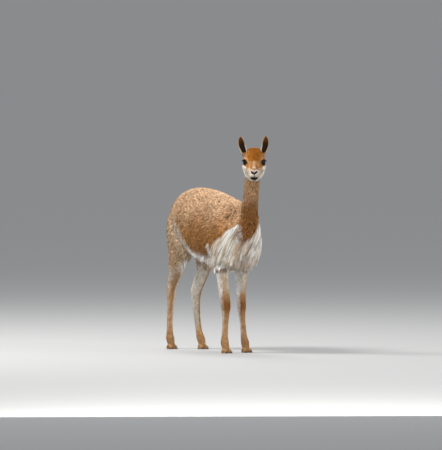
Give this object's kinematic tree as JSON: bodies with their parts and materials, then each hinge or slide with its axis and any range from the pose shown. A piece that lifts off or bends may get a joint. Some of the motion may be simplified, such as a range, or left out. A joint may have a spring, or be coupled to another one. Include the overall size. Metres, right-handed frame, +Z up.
{
  "type": "vicuna",
  "caption": "Life-size standing vicuna, a slim wild camelid, head turned to its right, with a long white chest bib, two-toed feet and a short tail.",
  "frame": {"origin": "on the floor, under the middle of the animal's bounding box", "axes": "+Z up, -Y the way the body faces, +X the animal's left side"},
  "size_m": [0.3362, 1.0142, 1.1961],
  "materials": {
    "cinnamon_wool": "matt woolly coat",
    "neck_wool": "matt short wool",
    "white_hair": "matt long hair",
    "face_hair": "matt short hair",
    "leg_hair": "matt short hair",
    "horn": "dull dark horn",
    "eye": "wet dark eye"
  },
  "bodies": {
    "root": {"chest": "white_hair", "ear_left": "face_hair", "ear_right": "face_hair", "eye_left": "eye", "eye_right": "eye", "foot_front_left": "leg_hair", "foot_front_right": "leg_hair", "foot_hind_left": "leg_hair", "foot_hind_right": "leg_hair", "head": "face_hair", "leg_front_left": "leg_hair", "leg_front_right": "leg_hair", "leg_hind_left": "leg_hair", "leg_hind_right": "leg_hair", "nail_front_left_inner": "horn", "nail_front_left_outer": "horn", "nail_front_right_inner": "horn", "nail_front_right_outer": "horn", "nail_hind_left_inner": "horn", "nail_hind_left_outer": "horn", "nail_hind_right_inner": "horn", "nail_hind_right_outer": "horn", "neck": "neck_wool", "tail": "cinnamon_wool", "torso": "cinnamon_wool"}
  },
  "joints": []
}
